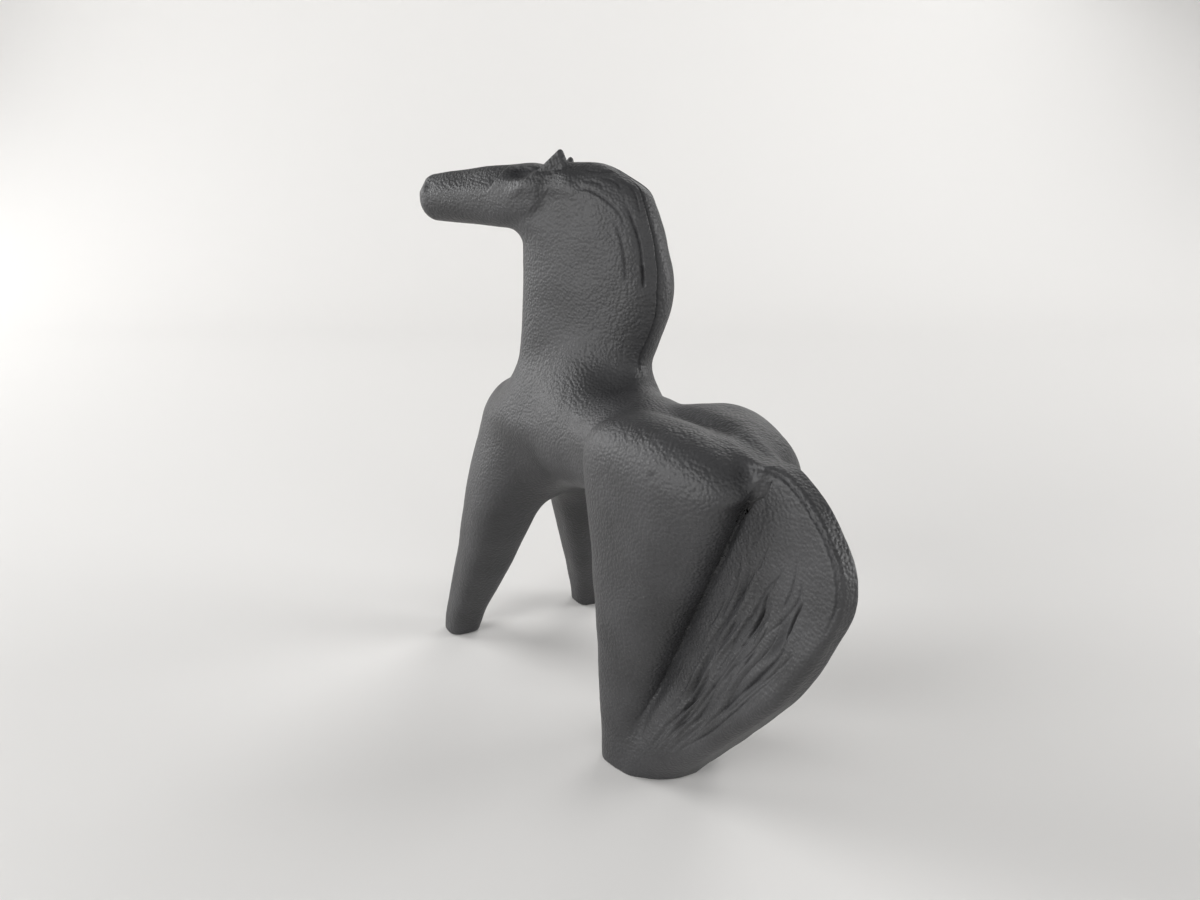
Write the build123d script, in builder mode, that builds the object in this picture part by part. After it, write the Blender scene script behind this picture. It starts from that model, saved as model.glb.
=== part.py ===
"""A small black cast horse that looks to its left, as a set of castings pinned together.

Millimetres, +X forward, +Y to the horse's left, +Z up. The castings are lofted about the horse's middle
plane, cut on shared joint planes, and then stood with the middle of the whole box over the origin.
"""
from math import cos, radians, sin
import os

from build123d import *

# Joints between the castings
foreleg_joint_height = 30.0
neck_joint_height = 67.0
hind_joint_forward = -4.5
head_joint_forward = 9.2
head_joint_drop = 1.4
head_joint_tilt = 40.3
mane_joint_forward = -4.7
mane_joint_rise = 20.3
mane_joint_tilt = 19.3

# The neck and head stand on a turned axis
neck_forward = 18.0
neck_turn = 33.0

# Pins and dowels, and the room round them in their holes
pin_clearance = 0.05
end_clearance = 0.4
pin_chamfer = 0.3
neck_dowel_radius = 2.5
neck_dowel_length = 22.0
neck_dowel_forward = 1.2
head_dowel_radius = 1.6
head_dowel_length = 12.0
mane_pin_radius = 0.8
mane_pin_length = 7.0
mane_pin_spacing = 16.0
foreleg_dowel_radius = 2.0
foreleg_dowel_length = 16.0
foreleg_dowel_forward = 42.0
foreleg_dowel_side = 11.2
hind_dowel_radius = 2.0
hind_dowel_length = 15.0
hind_dowel_side = 5.6
hind_dowel_height = 56.0
cross_pin_radius = 1.5
cross_pin_length = 14.0
upper_pin_forward = -26.0
upper_pin_height = 50.0
lower_pin_forward = -18.0
lower_pin_height = 14.0

# Ears, with the peg that each stands on
ear_forward = 8.3
ear_side = 3.6
ear_root_rise = 3.5
ear_length = 5.3
ear_middle_share = 0.6
ear_lean_back = 1.2
ear_spread = 0.5
ear_half_length = 2.2
ear_half_thickness = 1.1
ear_tip_share = 0.4
ear_peg_radius = 0.7
ear_peg_depth = 1.8

# Tail, a rounded slab that stands in the middle plane between the hind legs
tail_thickness = 5.8
tail_edge_radius = 1.4
tail_foot_front = -11.0
tail_foot_rear = -20.7
tail_front_top = (-20.0, 61.0)
tail_root = (-36.5, 63.6)
tail_back = [(-43.3, 63.0), (-50.6, 58.2), (-55.0, 50.6), (-53.9, 42.6), (-47.0, 29.9), (-35.6, 16.4)]

# How far a section fills its corners: 0.71 is an ellipse
round_fullness = 0.745
square_fullness = 0.79

# Barrel sections, rear to front: forward, height of the middle, half height, half width
barrel_sections = [
    (-30.0, 55.5, 8.3, 8.5),
    (-18.0, 55.5, 9.6, 10.2),
    (-4.0, 56.0, 10.0, 11.3),
    (8.0, 56.0, 10.1, 11.0),
    (20.0, 54.0, 11.3, 11.0),
    (31.0, 51.4, 12.6, 11.0),
    (39.0, 50.2, 11.6, 10.0),
    (43.5, 49.8, 9.0, 7.6),
    (45.0, 49.7, 5.0, 4.2),
]

# Foreleg sections, sole to shoulder: height, forward, side, half length, half width
foreleg_sections = [
    (0.0, 52.3, 17.0, 3.9, 3.6),
    (6.0, 50.4, 16.2, 4.5, 4.3),
    (15.0, 46.9, 14.3, 5.5, 5.4),
    (25.0, 43.5, 12.2, 7.0, 6.6),
    (35.0, 40.4, 10.3, 8.8, 7.8),
    (45.0, 37.8, 8.7, 10.3, 7.9),
    (54.0, 35.6, 7.3, 10.6, 6.9),
    (58.5, 34.9, 6.8, 9.4, 5.8),
    (61.0, 34.5, 6.5, 6.8, 3.8),
    (61.8, 34.4, 6.4, 3.6, 1.9),
]

# Hind leg sections, sole to croup: height, forward, side, half length, half width, turn towards the tail
hind_sections = [
    (0.0, -12.9, 5.1, 7.8, 5.0, 30.0),
    (10.0, -13.8, 5.5, 8.2, 5.4, 26.0),
    (30.0, -16.7, 6.2, 10.6, 6.4, 18.0),
    (45.0, -19.6, 6.6, 14.1, 7.1, 14.0),
    (56.0, -22.0, 6.8, 16.8, 7.6, 12.0),
    (62.0, -22.0, 6.7, 16.0, 7.2, 12.0),
    (65.3, -22.0, 6.5, 13.0, 5.2, 12.0),
    (66.3, -22.0, 6.4, 9.0, 2.8, 12.0),
]

# Neck sections, root to poll: height, forward on the turned axis, half length, half thickness
neck_sections = [
    (56.0, 2.8, 15.0, 8.6),
    (68.0, 1.2, 14.2, 6.6),
    (76.0, -0.5, 15.2, 6.2),
    (84.0, -1.7, 15.8, 6.1),
    (92.0, -1.0, 15.0, 5.9),
    (98.0, -0.8, 13.3, 5.6),
    (102.5, 0.0, 10.4, 5.0),
    (105.2, 1.0, 6.6, 3.6),
    (106.2, 1.5, 3.0, 1.6),
]

# Head sections, poll to muzzle: forward on the turned axis, height of the middle, half height, half width
head_sections = [
    (3.0, 100.0, 6.0, 5.6),
    (12.0, 100.1, 6.45, 6.0),
    (22.0, 100.0, 5.85, 5.2),
    (30.0, 99.9, 5.1, 4.5),
    (35.5, 99.8, 4.6, 4.3),
    (37.6, 99.9, 3.7, 3.4),
    (38.3, 100.0, 2.2, 2.0),
]

# The head's middle line, from which its joint and the ears' roots are measured
head_middle_height = head_sections[1][1]
ear_base_height = head_middle_height + ear_root_rise
head_joint_height = head_middle_height - head_joint_drop
mane_joint_height = neck_joint_height + mane_joint_rise

UP = Vector(0, 0, 1)
LEFT = Vector(0, 1, 0)
AHEAD = Vector(1, 0, 0)
GAZE = Vector(cos(radians(neck_turn)), sin(radians(neck_turn)), 0)
ACROSS = Vector(-sin(radians(neck_turn)), cos(radians(neck_turn)), 0)


def neck_point(forward, height, side=0.0):
    """A place on the turned neck: so far forward along the gaze, so high, so far to the gaze's left."""
    return AHEAD * neck_forward + GAZE * forward + ACROSS * side + UP * height


def tilted(tilt):
    """The gaze, tipped up by an angle."""
    return GAZE * cos(radians(tilt)) + UP * sin(radians(tilt))


def section(plane, half_long, half_wide, fullness):
    """A closed face on a plane, rounded through its four ends and its four corners."""
    corner_long, corner_wide = half_long * fullness, half_wide * fullness
    ends_and_corners = [
        (half_long, 0),
        (corner_long, corner_wide),
        (0, half_wide),
        (-corner_long, corner_wide),
        (-half_long, 0),
        (-corner_long, -corner_wide),
        (0, -half_wide),
        (corner_long, -corner_wide),
    ]
    with BuildSketch(plane) as outline:
        with BuildLine():
            Spline(*ends_and_corners, periodic=True)
        make_face()
    return outline.sketch.face()


def barrel_form(mode=Mode.ADD):
    """The trunk, from inside the croup to the chest."""
    faces = []
    for forward, height, half_height, half_width in barrel_sections:
        plane = Plane((forward, 0, height), x_dir=LEFT, z_dir=AHEAD)
        faces.append(section(plane, half_width, half_height, round_fullness))
    loft(faces, ruled=True, mode=mode)


def foreleg_form(side, mode=Mode.ADD):
    """One foreleg, from its sole to inside the shoulder."""
    faces = []
    for height, forward, out, half_long, half_wide in foreleg_sections:
        faces.append(section(Plane((forward, side * out, height)), half_long, half_wide, square_fullness))
    loft(faces, ruled=True, mode=mode)


def hind_form(side, mode=Mode.ADD):
    """One hind leg with its haunch, each section turned in towards the tail."""
    faces = []
    for height, forward, out, half_long, half_wide, turn in hind_sections:
        along = Vector(cos(radians(turn)), side * sin(radians(turn)), 0)
        plane = Plane((forward, side * out, height), x_dir=along, z_dir=UP)
        faces.append(section(plane, half_long, half_wide, round_fullness))
    loft(faces, ruled=True, mode=mode)


def neck_form(mode=Mode.ADD):
    """The neck, a rounded slab from inside the withers to the poll."""
    faces = []
    for height, forward, half_long, half_thick in neck_sections:
        plane = Plane(neck_point(forward, height), x_dir=GAZE, z_dir=UP)
        faces.append(section(plane, half_long, half_thick, round_fullness))
    loft(faces, ruled=True, mode=mode)


def head_form(mode=Mode.ADD):
    """The head, from inside the poll to the muzzle."""
    faces = []
    for forward, height, half_height, half_width in head_sections:
        plane = Plane(neck_point(forward, height), x_dir=ACROSS, z_dir=GAZE)
        faces.append(section(plane, half_width, half_height, round_fullness))
    loft(faces, ruled=True, mode=mode)


def pin_hole(plane, radius, length):
    """The hole for a pin that is centred on a plane."""
    with Locations(plane):
        Cylinder(radius + pin_clearance, length + 2 * end_clearance, mode=Mode.SUBTRACT)


# Joint planes: each looks away from the trunk
foreleg_joint = Plane((0, 0, foreleg_joint_height), z_dir=-UP)
neck_joint = Plane((0, 0, neck_joint_height), z_dir=UP)
hind_joint = Plane((hind_joint_forward, 0, 0), x_dir=LEFT, z_dir=-AHEAD)
head_joint_middle = neck_point(head_joint_forward, head_joint_height)
head_joint = Plane(head_joint_middle, x_dir=ACROSS, z_dir=tilted(head_joint_tilt))
mane_joint_middle = neck_point(mane_joint_forward, mane_joint_height)
mane_joint = Plane(mane_joint_middle, x_dir=ACROSS, z_dir=-tilted(-mane_joint_tilt))
middle_plane = Plane((0, 0, 0), x_dir=AHEAD, z_dir=LEFT)

# Pin planes: each pin is centred on its plane and lies along the plane's normal
neck_pin = Plane(neck_point(neck_dowel_forward, neck_joint_height), z_dir=UP)
head_pin = head_joint
mane_pin_step = mane_joint.y_dir * (mane_pin_spacing / 2)
mane_pins = [Plane(mane_joint_middle + mane_pin_step * step, z_dir=mane_joint.z_dir) for step in (-1, 1)]
foreleg_pins = {}
hind_pins = {}
for side in (1, -1):
    foreleg_pins[side] = Plane((foreleg_dowel_forward, side * foreleg_dowel_side, foreleg_joint_height))
    hind_pins[side] = Plane((hind_joint_forward, side * hind_dowel_side, hind_dowel_height), z_dir=AHEAD)
upper_cross_pin = Plane((upper_pin_forward, 0, upper_pin_height), z_dir=LEFT)
lower_cross_pin = Plane((lower_pin_forward, 0, lower_pin_height), z_dir=LEFT)
cross_pins = [upper_cross_pin, lower_cross_pin]

# Trunk, with the roots of the neck and the forelegs
with BuildPart() as torso:
    barrel_form()
    foreleg_form(1)
    foreleg_form(-1)
    neck_form()
    split(bisect_by=foreleg_joint, keep=Keep.BOTTOM)
    split(bisect_by=neck_joint, keep=Keep.BOTTOM)
    split(bisect_by=hind_joint, keep=Keep.BOTTOM)
    pin_hole(neck_pin, neck_dowel_radius, neck_dowel_length)
    for side in (1, -1):
        pin_hole(foreleg_pins[side], foreleg_dowel_radius, foreleg_dowel_length)
        pin_hole(hind_pins[side], hind_dowel_radius, hind_dowel_length)

# Forelegs
with BuildPart() as left_foreleg:
    foreleg_form(1)
    split(bisect_by=foreleg_joint, keep=Keep.TOP)
    pin_hole(foreleg_pins[1], foreleg_dowel_radius, foreleg_dowel_length)

with BuildPart() as right_foreleg:
    foreleg_form(-1)
    split(bisect_by=foreleg_joint, keep=Keep.TOP)
    pin_hole(foreleg_pins[-1], foreleg_dowel_radius, foreleg_dowel_length)

# Tail outline in the middle plane: the round back, then the foot and the front edge between the legs
with BuildSketch(Plane.XZ) as tail_outline:
    with BuildLine():
        Spline(tail_root, *tail_back, (tail_foot_rear, 0))
        Polyline((tail_foot_rear, 0), (tail_foot_front, 0), tail_front_top, tail_root)
    make_face()

# Tail
with BuildPart() as tail:
    extrude(tail_outline.sketch, amount=tail_thickness / 2, both=True)
    fillet(tail.edges().filter_by(GeomType.BSPLINE), tail_edge_radius)
    for plane in cross_pins:
        pin_hole(plane, cross_pin_radius, cross_pin_length)

# Hind legs, which meet in the middle plane and clasp the tail
with BuildPart() as left_hind_leg:
    hind_form(1)
    barrel_form()
    split(bisect_by=hind_joint, keep=Keep.TOP)
    split(bisect_by=middle_plane, keep=Keep.TOP)
    extrude(tail_outline.sketch, amount=tail_thickness / 2, both=True, mode=Mode.SUBTRACT)
    pin_hole(hind_pins[1], hind_dowel_radius, hind_dowel_length)
    for plane in cross_pins:
        pin_hole(plane, cross_pin_radius, cross_pin_length)

with BuildPart() as right_hind_leg:
    hind_form(-1)
    barrel_form()
    split(bisect_by=hind_joint, keep=Keep.TOP)
    split(bisect_by=middle_plane, keep=Keep.BOTTOM)
    extrude(tail_outline.sketch, amount=tail_thickness / 2, both=True, mode=Mode.SUBTRACT)
    pin_hole(hind_pins[-1], hind_dowel_radius, hind_dowel_length)
    for plane in cross_pins:
        pin_hole(plane, cross_pin_radius, cross_pin_length)

# Neck, between the withers, the mane and the head
with BuildPart() as neck:
    neck_form()
    head_form()
    split(bisect_by=neck_joint, keep=Keep.TOP)
    split(bisect_by=head_joint, keep=Keep.BOTTOM)
    split(bisect_by=mane_joint, keep=Keep.BOTTOM)
    pin_hole(neck_pin, neck_dowel_radius, neck_dowel_length)
    pin_hole(head_pin, head_dowel_radius, head_dowel_length)
    for plane in mane_pins:
        pin_hole(plane, mane_pin_radius, mane_pin_length)

# Mane, the crest of the neck
with BuildPart() as mane:
    neck_form()
    split(bisect_by=neck_joint, keep=Keep.TOP)
    split(bisect_by=mane_joint, keep=Keep.TOP)
    for plane in mane_pins:
        pin_hole(plane, mane_pin_radius, mane_pin_length)

# Head
with BuildPart() as head:
    head_form()
    split(bisect_by=head_joint, keep=Keep.TOP)
    pin_hole(head_pin, head_dowel_radius, head_dowel_length)
    for side in (1, -1):
        with Locations(Plane(neck_point(ear_forward, ear_base_height, side * ear_side))):
            Cylinder(ear_peg_radius + pin_clearance, 2 * (ear_peg_depth + end_clearance), mode=Mode.SUBTRACT)


def ear_form(side):
    """One ear: a leaf from inside the head to its tip, leaning back and out."""
    faces = []
    for rise in (0, ear_middle_share, 1):
        height = ear_base_height + ear_length * rise
        share = 1 - (1 - ear_tip_share) * rise ** 2
        place = neck_point(ear_forward - ear_lean_back * rise, height, side * (ear_side + ear_spread * rise))
        plane = Plane(place, x_dir=GAZE, z_dir=UP)
        faces.append(section(plane, ear_half_length * share, ear_half_thickness * share, round_fullness))
    loft(faces, ruled=True)


# Ears, cut to the head's surface
with BuildPart() as left_ear:
    ear_form(1)
    head_form(mode=Mode.SUBTRACT)
    with Locations(Plane(neck_point(ear_forward, ear_base_height, ear_side))):
        Cylinder(ear_peg_radius, 2 * ear_peg_depth)

with BuildPart() as right_ear:
    ear_form(-1)
    head_form(mode=Mode.SUBTRACT)
    with Locations(Plane(neck_point(ear_forward, ear_base_height, -ear_side))):
        Cylinder(ear_peg_radius, 2 * ear_peg_depth)

# Dowels and pins
with BuildPart() as neck_dowel:
    with Locations(neck_pin):
        Cylinder(neck_dowel_radius, neck_dowel_length)
    chamfer(neck_dowel.edges().filter_by(GeomType.CIRCLE), pin_chamfer)

with BuildPart() as head_dowel:
    with Locations(head_pin):
        Cylinder(head_dowel_radius, head_dowel_length)
    chamfer(head_dowel.edges().filter_by(GeomType.CIRCLE), pin_chamfer)

with BuildPart() as mane_pin_pair:
    with Locations(*mane_pins):
        Cylinder(mane_pin_radius, mane_pin_length)

with BuildPart() as foreleg_dowels:
    with Locations(*foreleg_pins.values()):
        Cylinder(foreleg_dowel_radius, foreleg_dowel_length)
    chamfer(foreleg_dowels.edges().filter_by(GeomType.CIRCLE), pin_chamfer)

with BuildPart() as hind_dowels:
    with Locations(*hind_pins.values()):
        Cylinder(hind_dowel_radius, hind_dowel_length)
    chamfer(hind_dowels.edges().filter_by(GeomType.CIRCLE), pin_chamfer)

with BuildPart() as tail_cross_pins:
    with Locations(*cross_pins):
        Cylinder(cross_pin_radius, cross_pin_length)
    chamfer(tail_cross_pins.edges().filter_by(GeomType.CIRCLE), pin_chamfer)

torso.part.label = "torso"
neck.part.label = "neck"
mane.part.label = "mane"
head.part.label = "head"
left_ear.part.label = "left_ear"
right_ear.part.label = "right_ear"
left_foreleg.part.label = "left_foreleg"
right_foreleg.part.label = "right_foreleg"
left_hind_leg.part.label = "left_hind_leg"
right_hind_leg.part.label = "right_hind_leg"
tail.part.label = "tail"
neck_dowel.part.label = "neck_dowel"
head_dowel.part.label = "head_dowel"
mane_pin_pair.part.label = "mane_pins"
foreleg_dowels.part.label = "foreleg_dowels"
hind_dowels.part.label = "hind_dowels"
tail_cross_pins.part.label = "tail_cross_pins"

castings = [torso, neck, mane, head, left_ear, right_ear, left_foreleg, right_foreleg]
castings += [left_hind_leg, right_hind_leg, tail]
fixings = [neck_dowel, head_dowel, mane_pin_pair, foreleg_dowels, hind_dowels, tail_cross_pins]

# Stand the horse with the middle of its box over the origin
box = Compound([piece.part for piece in castings]).bounding_box()
stand = Location((-box.center().X, -box.center().Y, 0))

os.makedirs("parts", exist_ok=True)
for piece in castings + fixings:
    piece.part.location = stand
    export_step(piece.part, f"parts/{piece.part.label}.step")
    print(piece.part.label, len(piece.part.solids()), round(piece.part.volume, 1), piece.part.is_valid)
print("box", box.size, "moved by", stand.position)
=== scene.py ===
"""A small black cast horse that looks to its left, on a pale studio sweep.

Sizes in the formulas are millimetres about the horse's own middle plane: x forward, y to its left, z up.
On the turned neck and head, u runs forward along the gaze and v to its left.
"""
import bpy
import numpy as np
from mathutils import Matrix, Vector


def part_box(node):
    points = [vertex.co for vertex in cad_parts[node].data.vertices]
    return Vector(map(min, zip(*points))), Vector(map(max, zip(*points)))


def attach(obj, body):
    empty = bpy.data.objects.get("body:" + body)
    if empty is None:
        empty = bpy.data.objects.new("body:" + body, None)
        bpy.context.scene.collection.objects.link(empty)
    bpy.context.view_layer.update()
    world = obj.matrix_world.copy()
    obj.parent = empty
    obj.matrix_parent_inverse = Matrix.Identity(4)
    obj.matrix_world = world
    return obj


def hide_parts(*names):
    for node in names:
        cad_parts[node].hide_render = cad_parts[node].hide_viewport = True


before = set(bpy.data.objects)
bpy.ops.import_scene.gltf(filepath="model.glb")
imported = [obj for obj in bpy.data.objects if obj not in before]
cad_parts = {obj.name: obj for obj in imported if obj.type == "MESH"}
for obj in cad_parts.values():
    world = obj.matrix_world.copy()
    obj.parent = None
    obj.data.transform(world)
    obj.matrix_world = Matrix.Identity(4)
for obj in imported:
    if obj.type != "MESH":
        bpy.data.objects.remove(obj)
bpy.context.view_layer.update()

# Rows of the forms: a place along the form's axis, then its section's middle, half sizes and squareness,
# and for the hind leg its turn in degrees
TRUNK = [(-34, 53, 8, 8, 2.2), (-20, 54, 9, 10, 2.2), (-4, 56, 10, 11.3, 2.3), (6, 56, 10, 11, 2.3),
         (18, 54.5, 11.1, 11, 2.3), (30, 51.5, 12.6, 11, 2.4), (40, 50, 11.8, 10.2, 2.4),
         (48, 49, 10, 9, 2.4)]
FORELEG = [(0, 52.3, 17, 3.9, 3.6, 3), (6, 50.4, 16.2, 4.5, 4.3, 3), (15, 46.9, 14.3, 5.5, 5.4, 3),
           (25, 43.5, 12.2, 7, 6.6, 2.8), (35, 40.4, 10.3, 8.8, 7.8, 2.6), (45, 37.8, 8.7, 10.3, 7.9, 2.4),
           (56, 35.2, 7.1, 10.8, 7, 2.2), (64, 34, 6, 11, 7, 2.2)]
HIND_LEG = [(0, -12.5, 5.3, 7.2, 5, 2.4, 32), (10, -13.1, 5.8, 7.4, 5.5, 2.3, 30),
            (30, -16.1, 6.4, 9.9, 6.5, 2.2, 20), (45, -19.3, 6.7, 13.7, 7.2, 2.2, 14),
            (57, -22, 6.9, 16.9, 7.7, 2.5, 12), (68, -22, 6.9, 17, 7.7, 2.5, 12)]
NECK = [(54, 3, 15, 9, 2.2), (62, 2.2, 15, 7.6, 2.2), (68.8, 1.2, 14.2, 6.6, 2.3), (74, 0, 14.8, 6.2, 2.4),
        (80, -1.4, 15.7, 6.1, 2.4), (84, -1.7, 15.8, 6.1, 2.4), (87.4, -1.6, 15.6, 6, 2.4),
        (91, -1.1, 15.1, 5.9, 2.4), (94.4, -0.5, 14.9, 5.8, 2.4), (98, -0.8, 13.3, 5.6, 2.4),
        (101.3, -0.5, 11.5, 5.2, 2.3), (104, 0.5, 8.6, 4.5, 2.2), (107, 1.5, 6, 4, 2)]
HEAD = [(2, 100, 6, 5.6, 2.2), (10, 100.1, 6.5, 6, 2.2), (16, 99.95, 6.25, 5.8, 2.2),
        (22, 100, 5.85, 5.2, 2.2), (30, 99.9, 5.1, 4.5, 2.2), (36, 99.8, 4.6, 4.3, 2.2),
        (39.5, 99.9, 4.4, 4.2, 2.2)]

# Ends of the forms, each with the rounding of its edge
TRUNK_FRONT, TRUNK_FRONT_ROUND = 45, 8
TRUNK_REAR, TRUNK_REAR_ROUND = -30, 6
SHOULDER_TOP, SHOULDER_ROUND = 62, 6.9
NECK_TOP, NECK_TOP_ROUND = 106.2, 4
NECK_FOOT, NECK_FOOT_ROUND = 56, 2
SOLE_ROUND = 0.6

# The haunch: its dome, how much squarer it is in front and rounder behind, how softly left and right meet
# in the middle plane, and how much flatter the right one is
DOME_FOOT, DOME_RISE = 57.5, 9.5
HAUNCH_SQUARER, HAUNCH_HALF = 0.3, 6
LEGS_MEET = 1.2
FLATTER, FLATTER_HEIGHTS, FLATTER_SPAN = 0.9, (45, 57), 4

# The tail's outline as (forward, height), rounded at its edge
TAIL_BACK = [(-30, 64.6), (-36.8, 64.1), (-43.3, 63.2), (-50.6, 58.2), (-55, 51), (-53.9, 42.7), (-47, 29.9),
             (-35.6, 16.4), (-23, 2.7), (-20.7, 0)]
TAIL_FRONT = [(-20, 61), (-11, 0)]
TAIL_BELOW = [(-17.3, -4), (-10.4, -4)]
TAIL_EDGE, TAIL_EDGE_LOW, TAIL_EDGE_HEIGHTS = 0.6, 1.4, (36, 50)
# How far the tail's faces stand out from the middle plane, by height: both at the groove, and the left one
# at the rear edge, where the right one stands out by TAIL_HALF; near the floor they fall off later
TAIL_FACE = [(0, 9.9, 4), (6, 9.1, 4.5), (10, 8.4, 4.6), (14, 7.6, 4.6), (16, 7.1, 4.5), (18, 6.4, 4.4),
             (22, 5.3, 4.3), (27, 4.5, 3.9), (32, 3.9, 3.3), (37, 3.5, 2.4), (41, 3.3, 1.5), (46, 3.2, 0.6),
             (50, 3.1, 0.2), (54, 2.9, 0.1), (58, 2.5, 0.2), (64, 2.3, 0.3), (70, 2.3, 0.3)]
TAIL_HALF = 2.9
FOOT_FALL, FOOT_FALL_MORE, FOOT_FALL_HEIGHTS = 1.8, 0.8, (4, 16)

# The groove between leg and tail lies in a plane: its direction, and its distance from the middle of the
# floor. The leg ends a little behind it, with a round edge, and the groove runs out at the tail's root and
# near the floor
GROOVE = np.array([-0.6698, -0.6512, -0.3567])
GROOVE_AWAY = 3.0
LEG_BEHIND, LEG_EDGE = 1.0, 6
ROOT_FILL, ROOT_HEIGHTS = 12, (57, 63)
FOOT_FILL, FOOT_TOP, FOOT_SPAN = 5, 13, 11
# The groove seen from the side: a place on it at the tail's root, and the direction square to it
GROOVE_ROOT, GROOVE_SQUARE = (-38.1, 58.5), (0.929, 0.37)

# The head: bevels beside the nose's narrow top that end at a leaning brow, the cheek, and the nose's end
BEVEL, BEVEL_TOP, BEVEL_ROUND = (0.78, 0.62), 1.7, 0.6
BROW, BROW_LEAN, BROW_STEP, BROW_SPAN = (18.4, 102.3), 0.6, 4, 1.4
CHEEK, CHEEK_RADIUS, CHEEK_ROUND = (13.8, 100.3), 9.0, 4.5
NOSE_END, NOSE_ROUND = 38.3, 3.2

# The ears: where the front edge of the left and of the right one starts, along the gaze and in height; the
# directions square to both edges; the tip, from there; and how the leaf stands apart, leans and turns
EAR_FOOT = {1: (8.9, 104.0), -1: (10.7, 102.7)}
EAR_FRONT, EAR_REAR, EAR_TIP = (0.69, 0.72), (-0.942, 0.334), (-5.1, 4.8)
EAR_APART, EAR_LEAN, EAR_TURN, EAR_WIDTH, EAR_HALF = 4.5, 0.25, 0.4, 3, 0.75
EAR_EDGE, EAR_SUNK, EAR_SUNK_EDGE = 0.7, 2, 0.3
# The middle line of an ear: behind its foot and aside, how it leans back, and how its rays' feet spread
EAR_BEHIND, EAR_ASIDE, EAR_BACK, EAR_SPREAD, EAR_NARROWS = 2.6, 3.9, 0.62, 1.6, 0.4

# Widths over which the forms run into one another, with what is added to them and where: the neck's on its
# left side, the head's at the jaw, the ears' at their feet, the tail's at its root and at its foot
SHOULDER_JOIN, HAUNCH_JOIN = 8, 4
NECK_JOIN, NECK_JOIN_LEFT, NECK_LEFT, NECK_LEFT_LONG, NECK_LEFT_WIDE = 7, 5, -1, 9, 5
HEAD_JOIN, JAW_JOIN, JAW_HEIGHTS = 1.4, 2.6, (94, 98)
EAR_JOIN, EAR_FOOT_JOIN, EAR_FOOT_HEIGHTS = 0.6, 2.4, (103.8, 105.6)
TAIL_JOIN, TAIL_ROOT_JOIN, TAIL_ROOT_HEIGHTS = 0.6, 2.9, (56, 63)
TAIL_FOOT_JOIN, TAIL_FOOT_TOP, TAIL_FOOT_SPAN = 1.5, 16, 10
ON_TAIL = (0.3, 1.2)
# How far each form and each group of marks reaches
TRUNK_LOW, TRUNK_HIGH = 28, 77
FORELEG_REAR, HIND_FRONT, TAIL_REACH = 14, 9, -4
NECK_LOW, HEAD_LOW, EAR_LOW = 46, 84, 99
HIND_HIGH, CREST_LOW, CREST_REAR = 66, 66, -10
FACE_LOW, FACE_REAR = 88, 4

# The crest's line, and the half width of its smooth strip by height
CREST = [(2, 106.3), (-0.3, 106.2), (-4.9, 105.6), (-9.6, 103), (-12, 101.3), (-14.1, 97.9), (-15.5, 94.4),
         (-16.4, 90.9), (-17.3, 87.4), (-17.6, 83.9), (-17.3, 80.2), (-16.1, 76.5), (-14.2, 72.6),
         (-13, 68.7), (-12, 64)]
CREST_STRIP = [(66, 3.1), (72, 3.1), (76, 2.8), (80, 2.9), (84, 3), (88, 2.7), (92, 2.4), (97, 2.4),
               (100, 2.1), (103, 0.8), (108, 0.3)]
STRIP_DEPTH, STRIP_EDGE, STRIP_LINE, LINE_WIDTH = 0.2, (-0.1, 0.3), 0.4, 0.22
CREST_WIDE, CREST_FADE, CREST_HEIGHTS, CREST_BACK = 5, 2, (67, 71), (3, 8)

# Incised lines, each with its depth: on the tail as (forward, height), on the neck as (along gaze, height)
TAIL_CUTS = [(0.4, [(-45, 50.1), (-41.8, 44.2), (-41.2, 40.8), (-38.4, 35.1), (-34.2, 27.6), (-28.5, 18),
                    (-25, 13.5)]),
             (0.4, [(-49, 46.6), (-47.1, 41.3), (-46.5, 37.6), (-43.7, 33.5), (-36, 23.3), (-27.3, 12)]),
             (0.5, [(-42.2, 45.2), (-41.2, 40.8), (-39.2, 36.7)]),
             (0.55, [(-41.5, 36.1), (-39, 31.7), (-36.7, 27.6)]),
             (0.55, [(-49, 46.6), (-47.7, 43.1), (-46.7, 39.6)]),
             (0.5, [(-32.5, 26.4), (-28.8, 20.9), (-26.3, 17.8)]),
             (0.28, [(-41.8, 53.5), (-40.4, 49.2), (-38.6, 46.2), (-33, 35.7), (-27.4, 26.1)]),
             (0.25, [(-33.3, 41.7), (-32.1, 38.7), (-30.6, 35.4)]),
             (0.3, [(-46.9, 52.2), (-46.7, 47.6), (-45.3, 43.6)]),
             (0.35, [(-47, 35.1), (-40.9, 27.2), (-33.3, 17.8), (-26, 10.3)]),
             (0.25, [(-36.6, 45.4), (-34.2, 40.8), (-31.8, 36)]),
             (0.3, [(-44.7, 49.2), (-42.1, 45.9), (-39.7, 41), (-37.1, 36.2)]),
             (0.3, [(-48.2, 49.7), (-48.1, 46.7), (-45.9, 42.7), (-42.2, 38)]),
             (0.3, [(-49.1, 39.1), (-46.1, 34.7), (-41.2, 28.6), (-36.1, 22.1)])]
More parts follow.
